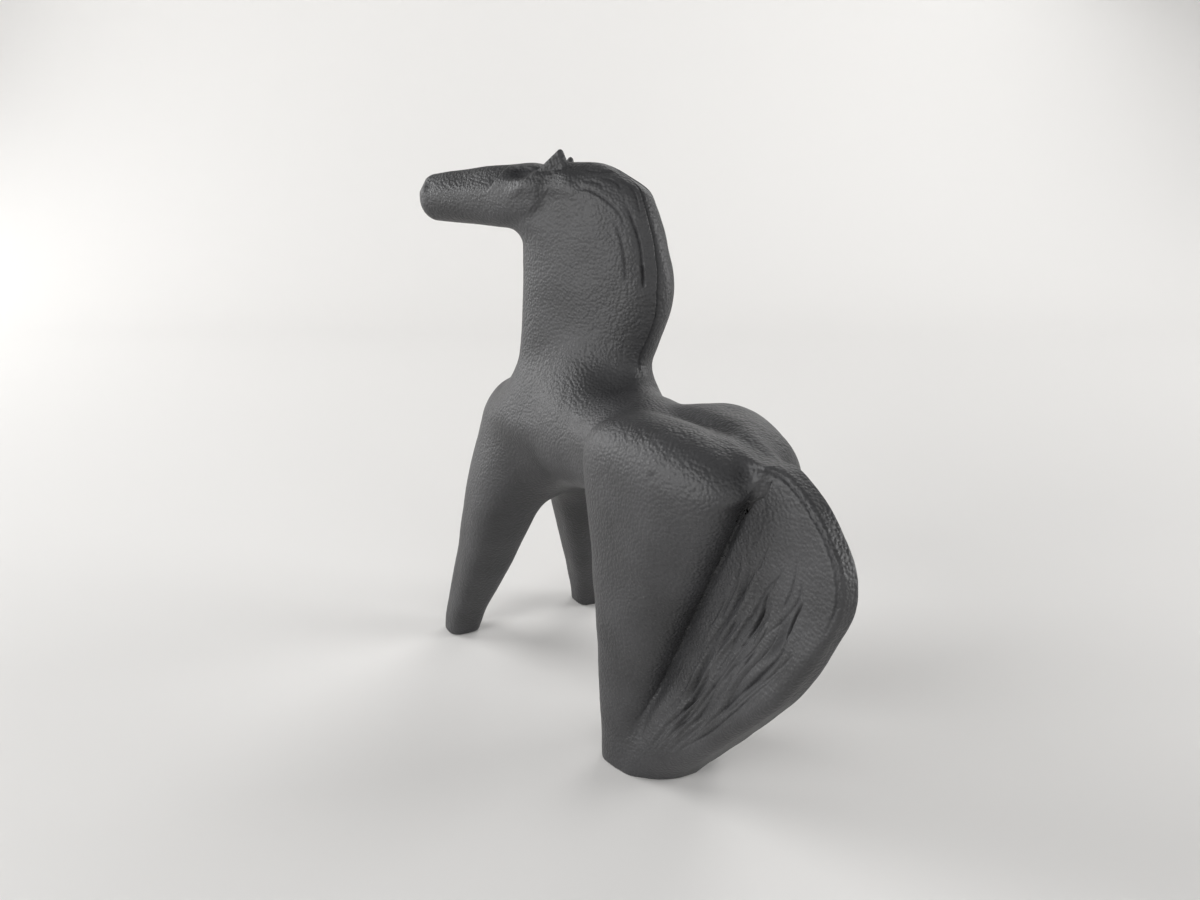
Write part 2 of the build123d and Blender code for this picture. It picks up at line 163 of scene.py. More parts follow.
MANE_CUTS = [(0.5, [(-10, 98.9), (-11.2, 96.2), (-12.4, 93.1), (-13.1, 90), (-13.4, 87.3), (-13.7, 84.4)]),
             (0.3, [(-0.7, 101.6), (-3.6, 101.1), (-6.8, 99.3), (-9.1, 97.2), (-10.3, 94.8)]),
             (0.3, [(-8.3, 96.2), (-9.3, 93.4), (-10.2, 90), (-10.5, 87.2), (-10.7, 85.4)]),
             (0.3, [(-0.7, 104.8), (-4.1, 104.4), (-6.7, 104.2)]),
             (0.3, [(-1.7, 103), (-4.5, 102.5), (-5.4, 101.8)]),
             (0.35, [(-4.6, 103.5), (-7.3, 102.7), (-9, 101.3)]),
             (0.35, [(-7.8, 103), (-10.1, 101.7), (-11.4, 100), (-12.4, 97.2)]),
             (0.4, [(-13.4, 88.5), (-13.6, 86.4), (-13.75, 84.2)])]
# The points of a cut, how soon and how bluntly it runs out at its ends, the share of its depth that is left
# on the tail, the widths of the cuts, and the depth at which the cuts' painted shade is darkest and the
# coating roughest
CUT_POINTS, CUT_RUN_OUT, CUT_BLUNT = 14, 4.5, 0.7
TAIL_CUT_SHARE, TAIL_CUT_WIDTH, MANE_CUT_WIDTH = 0.7, 0.2, 0.22
DEEPEST = 0.7

# Combed strands: how many waves, how long across and along the hair, and their phases; the tail's as rows of
# height, fineness and seed, with thin partings between them; and how far they wander, by what wavelength
COMB_WAVES, COMB_ACROSS, COMB_ALONG, COMB_PHASE = 9, (2.2, 5.5), (14, 50), 6.3
TAIL_STRANDS = [(0.15, 1.0, 5), (0.07, 2.2, 7)]
PARTING_DEPTH, PARTING_WIDTH, PARTING_SEED = 0.16, 0.25, 6
TAIL_STRANDS_WIDE, WANDER, TAIL_WANDER_LONG, MANE_WANDER_LONG = 20, 0.4, 3.4, 2.6
MANE_STRAND, MANE_SEED = 0.045, 8
# Where the strands fade: at the tail's rear edge, groove, root and foot; and under the crest, farther in,
# down the neck, towards its front, and at the strip's line
TAIL_FADE_BACK, TAIL_FADE_FRONT, TAIL_FADE_ROOT, TAIL_FADE_FOOT = (2.0, 5.0), (1.0, 3.0), (6, 18), (6, 16)
MANE_FADE_CREST, MANE_FADE_IN, MANE_FADE_DOWN, MANE_FADE_FRONT = (1.6, 3.0), (-7.5, -4.5), (84, 94), (2, 6)
MANE_FADE_STRIP = (0.2, 0.8)
# The line along the tail's rear edge
EDGE_LINE, EDGE_LINE_IN, EDGE_LINE_HEIGHTS, EDGE_LINE_REAR = 0.3, 0.9, (42, 47), (38, 41)

# Smaller marks: the line in the groove, a casting pit on the left haunch, the eye's hollows and the nostrils
GROOVE_LINE, GROOVE_LINE_WIDTH, GROOVE_LINE_FOOT = 0.12, 0.5, (6, 12)
GROOVE_LINE_TOP, GROOVE_LINE_FADE = 62.5, 5
PIT, PIT_DEPTH, PIT_SIZE = (-27.6, 13.4, 60.7), 0.3, 0.6
EYE, EYE_DEPTH, EYE_LONG, EYE_FOOT, EYE_SIDE = 12.4, 1.1, 2.6, (102.9, 104), (1.0, 2.4)
EYE_TOP, EYE_TOP_FADE = 105.6, 0.9
NOSTRIL, NOSTRIL_DEPTH, NOSTRIL_SIZE, NOSTRIL_SIDE = (34.9, 101.9), 0.3, 0.8, (1.5, 2.5)
# The sand-cast skin
PEBBLE_HEIGHT, SWELL_HEIGHT, SKIN_SEED = 0.006, 0.05, 11

# The turned neck
NECK_FORWARD = 18.0
NECK_TURN = np.radians(33.0)
NECK_ORIGIN = np.array([NECK_FORWARD, 0, 0])
GAZE = np.array([np.cos(NECK_TURN), np.sin(NECK_TURN), 0])
ACROSS = np.array([-np.sin(NECK_TURN), np.cos(NECK_TURN), 0])
UP = np.array([0, 0, 1])
# The planes of the head's and the mane's joint: the direction square to each, and a place on it, in u and z
HEAD_JOINT, HEAD_JOINT_AT = (0.7627, 0.6468), (9.2, 98.7)
MANE_JOINT, MANE_JOINT_AT = (-0.9438, 0.3305), (-4.7, 87.3)
# How the mane's joint leans by height, how much less the feet of the mane's rays spread, and how far two
# castings overlap at a joint
MANE_JOINT_SLOPE, MANE_NARROWER = 0.35, 1.5
OVERLAP = 0.5
# Where the castings meet: behind the trunk, above the forelegs and above the neck's root
RUMP_SEAM, FORELEG_SEAM, NECK_SEAM = -4.5, 30, 67
# Where the axes of the skins end inside the horse, or where a dome starts
CHEST, SHOULDER, NECK_ROOT, HAUNCH, RUMP, CROWN = 37, 54, 57, 59.3, -26, 98
HEAD_BACK, NOSE, EAR_START, EAR_END = 9.5, 34, 102.6, 107.2
# The lowest ring of a leg, how far a hind leg's axis lies ahead of its middle, how far the axis of half the
# rump lies aside and its skin passes the middle plane, and the length of the tail's axis
FLOOR_RING, HIND_AHEAD, RUMP_ASIDE, PAST_MIDDLE, TAIL_LONG = 0.02, 2.2, 1.0, 0.3, 84

# The camera's level directions, away from it and to its right; its tilt, place, lens and sensor
AWAY = np.array([0.8829, -0.4695, 0])
RIGHT = np.array([-0.4695, -0.8829, 0])
CAMERA_LEVEL, CAMERA_DOWN = 0.9596, 0.2815
CAMERA_AT = np.array([-136.2, 79.6, 102.0])
LENS, SENSOR, CLIP_START = 27, 36, 0.005

# How far a skin may stand out from its form: as a rule, close to the groove, and on an ear
REACH, CLOSE_REACH, EAR_REACH = 4.2, 0.6, 1.0
# Where a hind leg's skin is clear of the groove, in front of it and by height
CLEAR_AHEAD, CLEAR_HEIGHTS = (6, 9), (53, 58)
# The tail's tongue between the legs, how far its skin starts before the groove, and its room at the root
TONGUE_HALF, BEFORE_GROOVE, ROOT_ROOM = 2.2, 1.5, (53, 57)
ROOT_WIDER, ROOT_REACH = 4, 1.5
# The finding of a skin: its rows' spacing, how far a ray goes, how often it is halved, the step for slopes,
# how deep a buried point lies, a quarter turn, and the rings that close an open end
STEP = 0.36
RAY, HALVINGS, SLOPE_STEP, BURIED, QUARTER = 32, 17, 0.06, -0.06, 1.57
CAP_RINGS = (0, 0.35, 0.7)
# A distance far from any form, two guards against dividing by nought, and what keeps a place in a table
FAR = 30.0
TINY, SPECK = 1e-9, 1e-5
INSIDE = 1.001

# The charts and maps over the middle planes of tail and neck: their corners, and their points' spacing
TAIL_SPAN = ((-62, -6), (0, 74))
NECK_SPAN = ((-26, 58), (22, 116))
CHART_STEP = 0.14
MAP_STEP = 0.25

# Where the horse's own middle stands in the row frame, from the forefeet
METRE = 1000
MILLIMETRE = 0.001
TOE_FORWARD = 56.2
fore_left, fore_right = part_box("left_foreleg"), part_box("right_foreleg")
STAND = np.array([fore_left[1][0] * METRE - TOE_FORWARD,
                  (fore_left[1][1] + fore_right[0][1]) / 2 * METRE, 0])


def smooth(rows, count=600):
    """A table of the smooth cubic through the rows, whose slope at a row comes from its neighbours."""
    rows = np.asarray(rows, np.float32)
    place, value = rows[:, 0], rows[:, 1:]
    rate = np.gradient(value, place, axis=0)
    t = np.linspace(place[0], place[-1], count)
    i = np.clip(np.searchsorted(place, t, side="right") - 1, 0, len(place) - 2)
    span = (place[i + 1] - place[i])[:, None]
    s = (t - place[i])[:, None] / span
    value = ((1 + 2 * s) * (1 - s) ** 2 * value[i] + s * (1 - s) ** 2 * span * rate[i]
             + s * s * (3 - 2 * s) * value[i + 1] + s * s * (s - 1) * span * rate[i + 1])
    return place[0], t[1] - t[0], value.astype(np.float32)


def at(table, t):
    """The columns of a smooth table at the places t."""
    first, step, value = table
    where = np.clip((t - first) / step, 0, len(value) - INSIDE)
    i = where.astype(int)
    part = (where - i)[..., None]
    return np.moveaxis(value[i] * (1 - part) + value[i + 1] * part, -1, 0)


def plane(span, step):
    """The two coordinates of the points of a grid over a plane, between two corners."""
    low, high = span
    return np.meshgrid(np.arange(low[0], high[0], step), np.arange(low[1], high[1], step), indexing="ij")


def distance_map(points, span, closed):
    """Distances from a run of straight lines in a plane, on a grid; below zero inside a closed run."""
    u, w = plane(span, MAP_STEP)
    ends = np.roll(points, -1, 0) if closed else points[1:]
    best = np.full(u.shape, FAR)
    inside = np.zeros(u.shape, bool)
    for (au, aw), (bu, bw) in zip(points, ends):
        eu, ew = bu - au, bw - aw
        t = np.clip(((u - au) * eu + (w - aw) * ew) / (eu * eu + ew * ew + TINY), 0, 1)
        best = np.minimum(best, np.hypot(u - au - t * eu, w - aw - t * ew))
        inside ^= ((aw > w) != (bw > w)) & (u < eu * (w - aw) / np.where(ew == 0, 1, ew) + au)
    best = np.where(inside & closed, -best, best)
    return span[0], MAP_STEP, best.astype(np.float32)


def on_map(grid, u, w):
    """The value of a map or chart at (u, w), straight between its grid points."""
    low, step, value = grid
    i = np.clip((u - low[0]) / step, 0, value.shape[0] - INSIDE)
    j = np.clip((w - low[1]) / step, 0, value.shape[1] - INSIDE)
    a, b = i.astype(int), j.astype(int)
    p, q = i - a, j - b
    return ((value[a, b] * (1 - p) + value[a + 1, b] * p) * (1 - q)
            + (value[a, b + 1] * (1 - p) + value[a + 1, b + 1] * p) * q)


def rounded(points, count):
    """Points spaced evenly in number along the smooth curve through the given ones."""
    rows = [(i, *point) for i, point in enumerate(points)]
    return smooth(rows, count)[2].astype(float)


trunk_table, foreleg_table, hind_table = smooth(TRUNK), smooth(FORELEG), smooth(HIND_LEG)
neck_table, head_table = smooth(NECK), smooth(HEAD)
tail_table, strip_table = smooth(TAIL_FACE), smooth(CREST_STRIP)
tail_back = rounded(TAIL_BACK, 90)
tail_map = distance_map(np.vstack([tail_back, TAIL_BELOW, TAIL_FRONT[::-1]]), TAIL_SPAN, True)
crest_map = distance_map(rounded(CREST, 60), NECK_SPAN, False)


def bell(d, width):
    """A hump one high, that falls away over a width."""
    return np.exp(-(d / width) ** 2)


def ramp(d, low, high):
    """From nought at low to one at high, softly."""
    s = np.clip((d - low) / (high - low), 0, 1)
    return s * s * (3 - 2 * s)


def incised(u, w, points, width):
    """A line cut by a graver: one deep at its middle, running out towards its two ends."""
    points = rounded(points, CUT_POINTS)
    best, place = np.full(u.shape, FAR), np.zeros(u.shape)
    for i, ((au, aw), (bu, bw)) in enumerate(zip(points[:-1], points[1:])):
        eu, ew = bu - au, bw - aw
        t = np.clip(((u - au) * eu + (w - aw) * ew) / (eu * eu + ew * ew), 0, 1)
        d = np.hypot(u - au - t * eu, w - aw - t * ew)
        place = np.where(d < best, (i + t) / (len(points) - 1), place)
        best = np.minimum(best, d)
    return bell(best, width) * np.clip(CUT_RUN_OUT * place * (1 - place), 0, 1) ** CUT_BLUNT


def combed(across, along, seed):
    """Hair-like ridges: waves short across the strands and long along them, about one high."""
    draw = np.random.default_rng(seed)
    total = np.zeros(across.shape)
    for _ in range(COMB_WAVES):
        short, long = draw.uniform(*COMB_ACROSS), draw.uniform(*COMB_ALONG)
        way, phase = draw.choice([-1, 1]), draw.uniform(0, COMB_PHASE)
        total += np.sin(2 * np.pi * (across / short + along / long * way) + phase)
    return total * np.sqrt(2 / COMB_WAVES)


def tail_chart():
    """The tail's faces over the middle plane: how far left and right stand out, straight from the groove to
    the rear edge; and their relief, with combed strands that fan from the root between groove and edge,
    partings, cuts, and the line along the edge."""
    u, w = plane(TAIL_SPAN, CHART_STEP)
    back = np.maximum(-on_map(tail_map, u, w), 0)
    behind, above = u - GROOVE_ROOT[0], w - GROOVE_ROOT[1]
    front = -GROOVE_SQUARE[0] * behind - GROOVE_SQUARE[1] * above
    along = GROOVE_SQUARE[1] * behind - GROOVE_SQUARE[0] * above
    share = np.clip(front / np.maximum(front + back, 1e-3), 0, 1)
    before, edge = at(tail_table, w)
    fall = share ** (FOOT_FALL - FOOT_FALL_MORE * ramp(w, *FOOT_FALL_HEIGHTS))
    left, right = (before * (1 - fall) + after * fall for after in (edge, TAIL_HALF))
    fade = (ramp(back, *TAIL_FADE_BACK) * ramp(front, *TAIL_FADE_FRONT) * ramp(along, *TAIL_FADE_ROOT)
            * ramp(w, *TAIL_FADE_FOOT))
    across = share * TAIL_STRANDS_WIDE + WANDER * np.sin(along / TAIL_WANDER_LONG)
    strands = sum(height * combed(across * fine, along, seed) for height, fine, seed in TAIL_STRANDS)
    face = (strands - PARTING_DEPTH * bell(combed(across, along, PARTING_SEED), PARTING_WIDTH)) * fade
    for depth, line in TAIL_CUTS:
        face -= TAIL_CUT_SHARE * depth * incised(u, w, line, TAIL_CUT_WIDTH)
    face -= (EDGE_LINE * bell(back - EDGE_LINE_IN, LINE_WIDTH) * ramp(w, *EDGE_LINE_HEIGHTS)
             * ramp(-u, *EDGE_LINE_REAR))
    return [(TAIL_SPAN[0], CHART_STEP, value.astype(np.float32)) for value in (face, left, right)]


def mane_chart():
    """The neck's face under the crest: combed strands, and cuts."""
    u, w = plane(NECK_SPAN, CHART_STEP)
    deep = on_map(crest_map, u, w)
    fade = (ramp(deep, *MANE_FADE_CREST) * ramp(-deep, *MANE_FADE_IN) * ramp(w, *MANE_FADE_DOWN)
            * ramp(-u, *MANE_FADE_FRONT))
    face = MANE_STRAND * combed(deep + WANDER * np.sin(w / MANE_WANDER_LONG), w, MANE_SEED) * fade
    for depth, line in MANE_CUTS:
        face -= depth * incised(u, w, line, MANE_CUT_WIDTH)
    return NECK_SPAN[0], CHART_STEP, face.astype(np.float32)


tail_face, tail_left, tail_right = tail_chart()
mane_face = mane_chart()


def ring(along, across, a, b, power):
    """Distance from a superellipse with half sizes a and b, measured towards its middle."""
    along, across = np.abs(along), np.abs(across)
    out = np.hypot(along, across) + SPECK
    share = ((along / a) ** power + (across / b) ** power) ** (1 / power) + SPECK
    return out - out / share


def meet(d, e, r):
    """Inside both d and e, with their edge rounded by r."""
    p, q = np.maximum(d + r, 0), np.maximum(e + r, 0)
    return np.hypot(p, q) + np.minimum(np.maximum(d + r, e + r), 0) - r


def join(a, b, k):
    """Inside a or b, with the crease between them filled over a width k."""
    h = np.maximum(k - np.abs(a - b), 0) / k
    return np.minimum(a, b) - h * h * k / 4


def neck_place(x, y):
    """Forward along the gaze, and to its left, of the turned neck."""
    x = x - NECK_FORWARD
    return x * GAZE[0] + y * GAZE[1], x * ACROSS[0] + y * ACROSS[1]


def trunk(x, y, z):
    """A level barrel of superelliptic sections, rounded off in front and behind."""
    height, a, b, power = at(trunk_table, x)
    d = ring(z - height, y, a, b, power)
    return meet(meet(d, x - TRUNK_FRONT, TRUNK_FRONT_ROUND), TRUNK_REAR - x, TRUNK_REAR_ROUND)


def foreleg(x, y, z):
    """The left foreleg: level superelliptic sections that move forward and out to the foot, domed above."""
    fx, fy, a, b, power = at(foreleg_table, z)
    d = ring(x - fx, y - fy, a, b, power)
    return meet(meet(d, z - SHOULDER_TOP, SHOULDER_ROUND), -z, SOLE_ROUND)


def groove(x, y, z):
    """How far a place lies behind the plane of the groove between leg and tail."""
    return GROOVE[0] * x + GROOVE[1] * y + GROOVE[2] * z - GROOVE_AWAY


def haunch(x, y, z):
    """The left hind leg's turned superelliptic sections, closed above by a superelliptic dome."""
    hx, hy, a, b, power, turn = at(hind_table, z)
    c, s = np.cos(np.radians(turn)), np.sin(np.radians(turn))
    x, y, up = x - hx, y - hy, np.maximum(z - DOME_FOOT, 0)
    long, wide = x * c + y * s, np.abs(y * c - x * s)
    power = power + HAUNCH_SQUARER * np.clip(long / HAUNCH_HALF, -1, 1)
    long = np.abs(long)
    out = np.sqrt(long * long + wide * wide + up * up) + SPECK
    share = ((long / a) ** power + (wide / b) ** power + (up / DOME_RISE) ** power) ** (1 / power) + SPECK
    return meet(out - out / share, -z, SOLE_ROUND)


def leg_end(x, y, z):
    """How far a place lies behind the leg's end, which follows the groove from tail root to floor."""
    filled = ROOT_FILL * ramp(z, *ROOT_HEIGHTS)
    return groove(x, y, z) - LEG_BEHIND - filled - FOOT_FILL * ramp(FOOT_TOP - z, 0, FOOT_SPAN)


def hind_leg(x, y, z):
    """The leg and its haunch, domed above and cut off behind by the groove."""
    return meet(haunch(x, y, z), leg_end(x, y, z), LEG_EDGE)


def neck(x, y, z):
    """Level superelliptic sections along the gaze, set back or forward by height, round at the crown."""
    u, v = neck_place(x, y)
    mid, a, b, power = at(neck_table, z)
    d = ring(u - mid, v, a, b, power)
    return meet(meet(d, z - NECK_TOP, NECK_TOP_ROUND), NECK_FOOT - z, NECK_FOOT_ROUND)


def head(x, y, z):
    """A tapering bar with a flat bevel on both sides of the nose up to the brow, and a round cheek."""
    u, v = neck_place(x, y)
    height, a, b, power = at(head_table, u)
    d = ring(z - height, v, a, b, power)
    brow = BROW_STEP * ramp(BROW[0] - u - BROW_LEAN * (z - BROW[1]), 0, BROW_SPAN)
    bevel = BEVEL[0] * (np.abs(v) - BEVEL_TOP) + BEVEL[1] * (z - height - a) - brow
    cheek = np.hypot(np.minimum(u - CHEEK[0], 0), z - CHEEK[1]) - CHEEK_RADIUS
    return meet(meet(meet(d, bevel, BEVEL_ROUND), u - NOSE_END, NOSE_ROUND), cheek, CHEEK_ROUND)


def ear(x, y, z, side):
    """A thin leaf that leans back: straight front edge, steep rear edge, faces that turn in to the rear."""
    u, v = neck_place(x, y)
    foot, root = EAR_FOOT[side]
    front = EAR_FRONT[0] * (u - foot) + EAR_FRONT[1] * (z - root)
    rear = EAR_REAR[0] * (u - foot - EAR_TIP[0]) + EAR_REAR[1] * (z - root - EAR_TIP[1])
    turned = EAR_TURN * np.clip(front, -EAR_WIDTH, 0)
    out = np.abs(side * v - EAR_APART + EAR_LEAN * (z - root) - turned) - EAR_HALF
    return meet(meet(meet(front, rear, EAR_EDGE), out, EAR_EDGE), root - EAR_SUNK - z, EAR_SUNK_EDGE)


def tail(x, y, z):
    """A slab with the tail's outline, whose faces stand out as far as their charts say."""
    edge = TAIL_EDGE + TAIL_EDGE_LOW * (1 - ramp(z, *TAIL_EDGE_HEIGHTS))
    d = np.maximum(y - on_map(tail_left, x, z), -y - on_map(tail_right, x, z))
    return meet(meet(on_map(tail_map, x, z), d, edge), -z, SOLE_ROUND)


def near(form, mask, x, y, z):
    """The form's distance where the mask holds, and far away elsewhere."""
    d = np.full(x.shape, FAR, np.float32)
    d[mask] = form(x[mask], y[mask], z[mask])
    return d


rng = np.random.default_rng(SKIN_SEED)


def waves(count, shortest, longest):
    """Plane waves in random directions: their wave vectors and phases."""
    way = rng.normal(size=(count, 3))
    way *= 2 * np.pi / (np.linalg.norm(way, axis=1) * rng.uniform(shortest, longest, count))[:, None]
    return way.astype(np.float32), rng.uniform(0, 2 * np.pi, count).astype(np.float32)


PEBBLES, SWELLS = waves(24, 1.5, 2.6), waves(10, 5.0, 12.0)


def noise(kind, x, y, z):
    """The sum of the waves at a place, with a spread of about one."""
    total = np.zeros(x.shape, np.float32)
    for (kx, ky, kz), phase in zip(*kind):
        total += np.sin(kx * x + ky * y + kz * z + phase)
    return total * np.sqrt(2 / len(kind[1]))


def face_marks(u, v, z):
    """The eye's hollow between brow and ear, under the crown, and the nostril."""
    side = np.abs(v)
    eye = (-EYE_DEPTH * bell(u - EYE, EYE_LONG) * ramp(z, *EYE_FOOT) * ramp(EYE_TOP - z, 0, EYE_TOP_FADE)
           * ramp(side, *EYE_SIDE))
    from_nostril = np.hypot(u - NOSTRIL[0], z - NOSTRIL[1])
    nostril = -NOSTRIL_DEPTH * bell(from_nostril, NOSTRIL_SIZE) * ramp(side, *NOSTRIL_SIDE)
    return eye + nostril


def crest_strip(u, v, z):
    """How far a place on the crest lies outside its smooth strip, and how much of a crest is there."""
    fade = (ramp(CREST_WIDE - on_map(crest_map, u, z), 0, CREST_FADE) * ramp(z, *CREST_HEIGHTS)
            * ramp(-u, *CREST_BACK))
    return np.abs(v) - at(strip_table, z)[0], fade


def marks(x, y, z, on_tail):
    """What the maker's hand left on the smooth forms: strands, cuts, the lines of groove and crest, the
    face; and a casting pit."""
    h = np.zeros(x.shape, np.float32)
    place = on_tail > 0
    h[place] += on_map(tail_face, x[place], z[place]) * on_tail[place]
    place = (x < TAIL_REACH) & (z < HIND_HIGH)
    px, py, pz = x[place], y[place], z[place]
    line = GROOVE_LINE * bell(groove(px, np.abs(py), pz), GROOVE_LINE_WIDTH)
    h[place] -= line * ramp(pz, *GROOVE_LINE_FOOT) * ramp(GROOVE_LINE_TOP - pz, 0, GROOVE_LINE_FADE)
    from_pit = np.sqrt((px - PIT[0]) ** 2 + (py - PIT[1]) ** 2 + (pz - PIT[2]) ** 2)
    h[place] -= PIT_DEPTH * bell(from_pit, PIT_SIZE)
    u, v = neck_place(x, y)
    place = (z > CREST_LOW) & (x > CREST_REAR)
    away, fade = crest_strip(u[place], v[place], z[place])
    hair = on_map(mane_face, u[place], z[place]) * ramp(away, *MANE_FADE_STRIP)
    h[place] += hair - STRIP_LINE * bell(away, LINE_WIDTH) * fade
    place = (z > FACE_LOW) & (u > FACE_REAR)
    h[place] += face_marks(u[place], v[place], z[place])
    return h


def skin_noise(x, y, z):
    """The sand's pebbles and swells, and the crest's strip, which lies lower than the strands beside it."""
    h = PEBBLE_HEIGHT * noise(PEBBLES, x, y, z) + SWELL_HEIGHT * noise(SWELLS, x, y, z)
    place = (z > CREST_LOW) & (x > CREST_REAR)
    away, fade = crest_strip(*neck_place(x[place], y[place]), z[place])
    h[place] -= STRIP_DEPTH * ramp(-away, *STRIP_EDGE) * fade
    return h


def forms(x, y, z):
    """The smooth horse's distance, its forms run into one another; and how surely a place is on the tail."""
    aside = np.hypot(y, LEGS_MEET) + FLATTER * ramp(z, *FLATTER_HEIGHTS) * ramp(-y, 0, FLATTER_SPAN)
    d = near(trunk, (z > TRUNK_LOW) & (z < TRUNK_HIGH), x, y, z)
    d = join(d, near(foreleg, x > FORELEG_REAR, x, np.abs(y), z), SHOULDER_JOIN)
    d = join(d, near(hind_leg, x < HIND_FRONT, x, aside, z), HAUNCH_JOIN)
    u, v = neck_place(x, y)
    on_left = NECK_JOIN_LEFT * bell(u - NECK_LEFT, NECK_LEFT_LONG) * ramp(v, 0, NECK_LEFT_WIDE)
    d = join(d, near(neck, z > NECK_LOW, x, y, z), NECK_JOIN + on_left)
    d = join(d, near(head, z > HEAD_LOW, x, y, z), HEAD_JOIN + JAW_JOIN * (1 - ramp(z, *JAW_HEIGHTS)))
    ear_join = EAR_JOIN + EAR_FOOT_JOIN * (1 - ramp(z, *EAR_FOOT_HEIGHTS))
    for side in (1, -1):
        d = join(d, near(lambda *p: ear(*p, side), z > EAR_LOW, x, y, z), ear_join)
    slab = near(tail, x < TAIL_REACH, x, y, z)
    tail_join = (TAIL_JOIN + TAIL_ROOT_JOIN * ramp(z, *TAIL_ROOT_HEIGHTS)
                 + TAIL_FOOT_JOIN * ramp(TAIL_FOOT_TOP - z, 0, TAIL_FOOT_SPAN))
    return join(d, slab, tail_join), ramp(d - slab, *ON_TAIL)


def horse(x, y, z):
    """The whole horse's distance, with all that stands out from or is cut into its smooth forms."""
    d, on_tail = forms(x, y, z)
    return d - marks(x, y, z, on_tail) - skin_noise(x, y, z)


def slope(form, points):
    """The direction in which a form's distance grows fastest, at each point."""
    x, y, z = points.T.copy()
    e = np.float32(SLOPE_STEP)
    way = np.stack([form(x + e, y, z) - form(x - e, y, z), form(x, y + e, z) - form(x, y - e, z),
                    form(x, y, z + e) - form(x, y, z - e)], 1)
    return way / (np.linalg.norm(way, axis=1, keepdims=True) + TINY)


def closing(rim, shares):
    """Rings between the middle of an open end and its rim, by their shares of the way out."""
    return [rim.mean(1, keepdims=True) * (1 - share) + rim * share for share in shares]


def limb(axis, first, last, columns, bound, start=0.0, end=0.0, gather=0.0, lean=0.0):
    """A closed skin round an axis. Rays leave the axis all round, square to it along its length and fanned
    out over an end with a dome's radius; each stops where it meets the horse's surface, or the piece's own
    bound. The columns may be gathered towards the angle called lean. An axis gives its middle points, its
    direction ahead, the section's long and wide directions, how far the rays' feet spread along the long
    one, and the axis's length for one step of t."""
    fan_in = np.linspace(-90, 0, int(start * QUARTER / STEP), endpoint=False)
    run = np.linspace(first, last, int(abs(last - first) * axis(np.array([first]))[5] / STEP) + 2)
    fan_out = np.linspace(0, 90, int(end * QUARTER / STEP) + 1)[1:]
    t = np.concatenate([np.full(len(fan_in), first), run, np.full(len(fan_out), last)])
    tilt = np.radians(np.concatenate([fan_in, np.zeros(len(run)), fan_out]))[:, None, None]
    middle, ahead, long, wide, spread, _ = axis(t)
    turn = np.linspace(0, 2 * np.pi, columns, endpoint=False)[None, :, None]
    turn = turn - gather * np.sin(turn - lean)
    flat = np.cos(turn) * long[:, None] + np.sin(turn) * wide[:, None]
    way = np.cos(tilt) * flat + np.sin(tilt) * ahead[:, None]
    origin = middle[:, None] + (spread[:, None, None] * np.cos(turn)) * long[:, None]
    ox, oy, oz = np.moveaxis(origin.astype(np.float32), -1, 0)
    wx, wy, wz = np.moveaxis(way.astype(np.float32), -1, 0)
    low, high = np.zeros(ox.shape, np.float32), np.full(ox.shape, RAY, np.float32)
    for _ in range(HALVINGS):
        r = (low + high) / 2
        x, y, z = ox + wx * r, oy + wy * r, oz + wz * r
        outside = np.maximum(horse(x, y, z), bound(x, y, z)) > 0
        low, high = np.where(outside, low, r), np.where(outside, r, high)
    skin = np.stack([ox + wx * low, oy + wy * low, oz + wz * low], -1)
    if not start:
        skin = np.concatenate(closing(skin[:1], CAP_RINGS) + [skin])
    if not end:
        skin = np.concatenate([skin] + closing(skin[-1:], CAP_RINGS[::-1]))
    return skin


def woven(skins):
    """The points of some skins, and their faces between the rows and round the columns, turned outwards."""
    points, faces, count = [], [], 0
    for skin in skins:
        rows, columns = skin.shape[:2]
        index = count + np.arange(rows * columns).reshape(rows, columns)
        beside = np.roll(index, -1, 1)
        quads = np.stack([index[:-1], beside[:-1], beside[1:], index[1:]], -1).reshape(-1, 4)
        p = skin.reshape(-1, 3)
        a, b, c = (p[quads[:, k] - count] for k in range(3))
        if (a * np.cross(b, c)).sum() < 0:
            quads = quads[:, ::-1]
        points.append(p)
        faces.append(quads)
        count += len(p)
    return np.concatenate(points).astype(np.float32), np.concatenate(faces)


def casting(name, node, *skins, form=None):
    """One object from its skins. The shading follows the slope of the horse's distance, so that it runs on
    unbroken from piece to piece, and inside a neighbour that of the piece's own form. Each point also notes
    how deep it lies in a cut, which the coating turns into painted shade there."""
    points, faces = woven(skins)
    x, y, z = points.T.copy()
    normal = slope(horse, points)
    # How deep each point lies in a cut, which the coating shows as painted shade
    hollow = np.clip(-marks(x, y, z, forms(x, y, z)[1]) / DEEPEST, 0, 1)
    if form:
        buried = horse(x, y, z) < BURIED
        normal[buried] = slope(form, points[buried])
    mesh = bpy.data.meshes.new(name)
    mesh.vertices.add(len(points))
    mesh.vertices.foreach_set("co", ((points + STAND) * MILLIMETRE).astype(np.float32).ravel())
    mesh.loops.add(faces.size)
    mesh.loops.foreach_set("vertex_index", faces.ravel().astype(np.int32))
    mesh.polygons.add(len(faces))
    mesh.polygons.foreach_set("loop_start", np.arange(0, faces.size, 4, dtype=np.int32))
    mesh.polygons.foreach_set("use_smooth", np.ones(len(faces), bool))
    mesh.update(calc_edges=True)
    mesh.normals_split_custom_set_from_vertices(normal.tolist())
    mesh.attributes.new("hollow", "FLOAT", "POINT").data.foreach_set("value", hollow.astype(np.float32))
    piece = bpy.data.objects.new(name, mesh)
    bpy.context.scene.collection.objects.link(piece)
    mesh.materials.append(black_iron)
    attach(piece, "root")
    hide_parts(node)


def still(vector, t):
    """The same direction at every place of an axis."""
    return np.broadcast_to(np.asarray(vector, float), (len(t), 3))


def on_neck(u, v, z):
    """Places in the horse's frame, from places along the gaze, to its left and up."""
    return NECK_ORIGIN + u[:, None] * GAZE + v[:, None] * ACROSS + z[:, None] * UP


